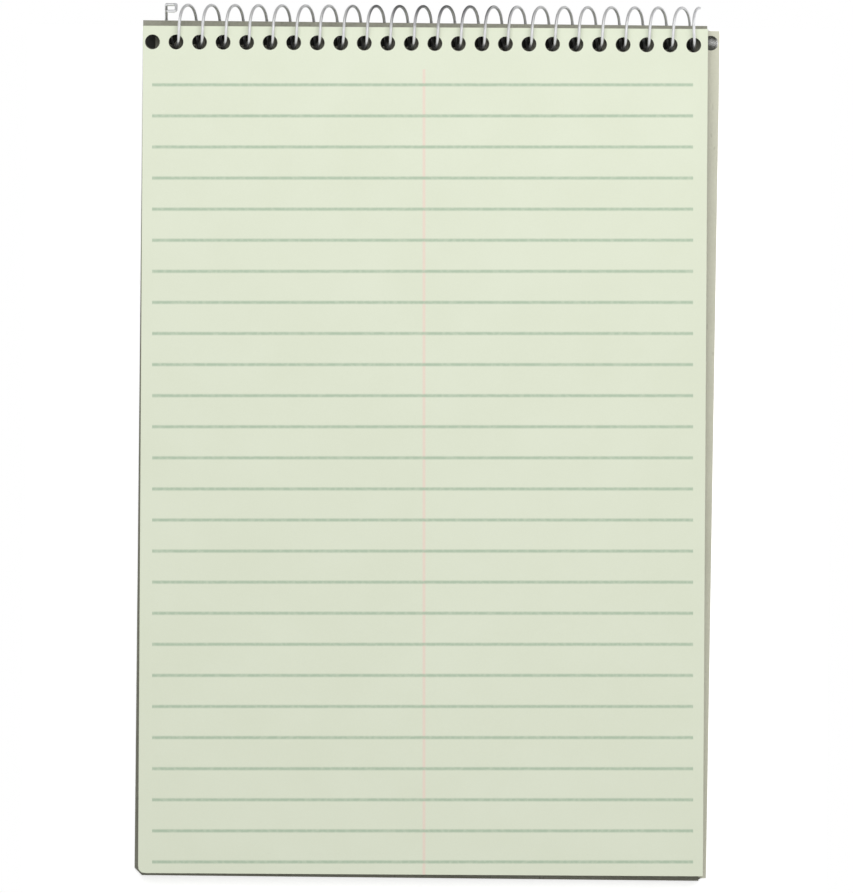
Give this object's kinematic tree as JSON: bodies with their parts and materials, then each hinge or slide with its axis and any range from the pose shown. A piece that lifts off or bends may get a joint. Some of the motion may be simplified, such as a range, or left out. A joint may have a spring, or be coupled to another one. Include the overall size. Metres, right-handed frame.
{
  "type": "steno pad",
  "caption": "Top-bound steno pad: a block of pale green ruled sheets on a backing board, held by a single spiral wire, with its card cover folded back underneath.",
  "frame": {"origin": "on the table, under the middle of the top sheet, in the flat underside of the folded-back cover", "axes": "+X along the binding wire, +Y up the page to the wire, +Z out of the page"},
  "size_m": [0.1568, 0.2361, 0.0122],
  "materials": {
    "ruled_paper": "matte",
    "chipboard": "matte",
    "cover_card": "matte",
    "binding_wire": "bright drawn wire"
  },
  "bodies": {
    "pad": {"page_block": "ruled_paper", "back_board": "chipboard", "spiral_wire": "binding_wire"},
    "cover": {"front_cover": "cover_card"}
  },
  "joints": [
    {"name": "cover_swing", "type": "hinge", "parent": "pad", "child": "cover", "pos_m": [-0.00063, 0.11432, 0.0061], "axis": [1, 0, 0], "range_deg": [0, 100]}
  ]
}
